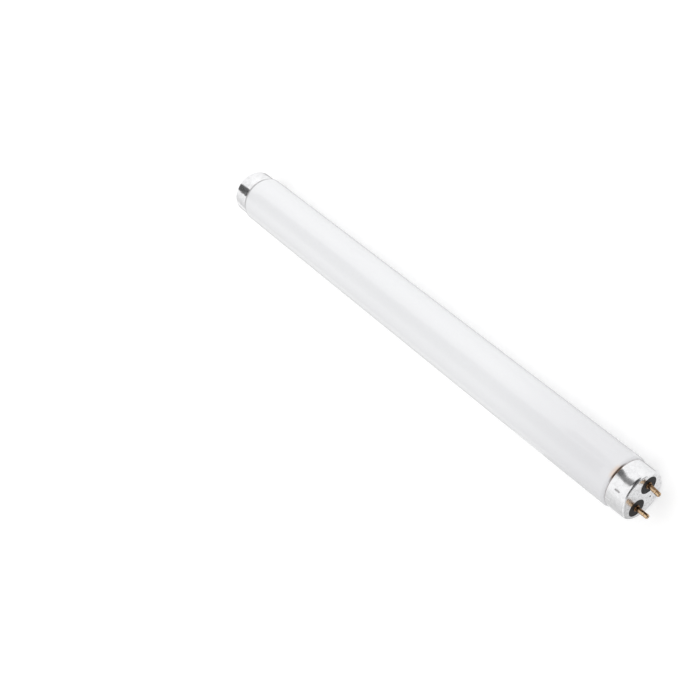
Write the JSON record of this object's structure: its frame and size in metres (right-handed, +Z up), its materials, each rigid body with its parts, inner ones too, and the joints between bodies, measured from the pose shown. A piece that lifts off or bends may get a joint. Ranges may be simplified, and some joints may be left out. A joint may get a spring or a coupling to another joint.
{
  "type": "fluorescent tube",
  "caption": "Short straight fluorescent tube: white coated glass with a metal cap, black insulators and round brass contact pins at each end.",
  "frame": {"origin": "middle of the lamp, on its axis", "axes": "+X along the lamp towards the right cap, +Y along the line of the two pins of a cap, +Z up, square to both"},
  "size_m": [0.345, 0.028, 0.028],
  "materials": {
    "coated_glass": "clear glass over a white powder coating",
    "cap_metal": "bright drawn aluminium",
    "insulator_plastic": "black moulded plastic",
    "pin_brass": "polished brass",
    "basing_cement": "baked tan cement",
    "lead_wire": "bare wire"
  },
  "bodies": {
    "root": {"glass_tube": "coated_glass", "right_cap_shell": "cap_metal", "right_insulator": "insulator_plastic", "right_cap_cement": "basing_cement", "right_rear_pin": "pin_brass", "right_rear_wire": "lead_wire", "right_front_pin": "pin_brass", "right_front_wire": "lead_wire", "left_cap_shell": "cap_metal", "left_insulator": "insulator_plastic", "left_cap_cement": "basing_cement", "left_rear_pin": "pin_brass", "left_rear_wire": "lead_wire", "left_front_pin": "pin_brass", "left_front_wire": "lead_wire"}
  },
  "joints": []
}
